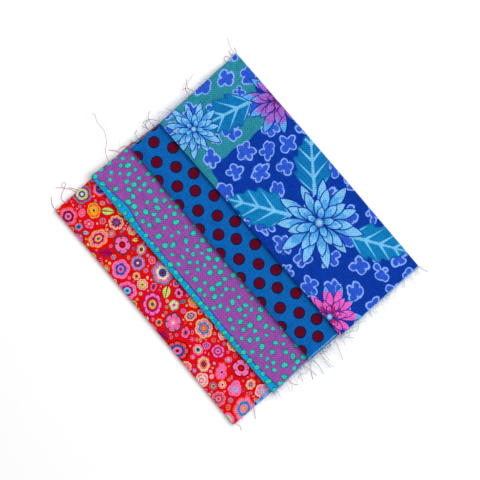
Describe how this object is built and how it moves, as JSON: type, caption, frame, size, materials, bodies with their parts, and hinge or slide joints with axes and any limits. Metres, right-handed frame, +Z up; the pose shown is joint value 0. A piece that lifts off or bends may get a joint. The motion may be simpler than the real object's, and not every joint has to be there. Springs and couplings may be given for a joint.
{
  "type": "stack of quarter yard cuts",
  "caption": "Folded quarter yard cuts of printed quilting cotton, laid flat in a fanned stack, each on the one before, with raw frayed ends and smooth folded sides.",
  "frame": {"origin": "middle of the stack's footprint, on the surface that it lies on, without the loose thread", "axes": "+X across the fan, from the lowest cut to the top one; +Y along the nine inches between the raw ends; +Z up"},
  "size_m": [0.2023, 0.2727, 0.0161],
  "materials": {
    "red_print_cotton": "matt woven cotton, printed",
    "purple_print_cotton": "matt woven cotton, printed",
    "dotted_print_cotton": "matt woven cotton, printed",
    "floral_print_cotton": "matt woven cotton, printed",
    "cotton_yarn": "matt single yarn"
  },
  "bodies": {
    "root": {"red_cut": "red_print_cotton", "purple_cut": "purple_print_cotton", "dotted_cut": "dotted_print_cotton", "floral_cut": "floral_print_cotton", "loose_thread": "cotton_yarn"}
  },
  "joints": []
}
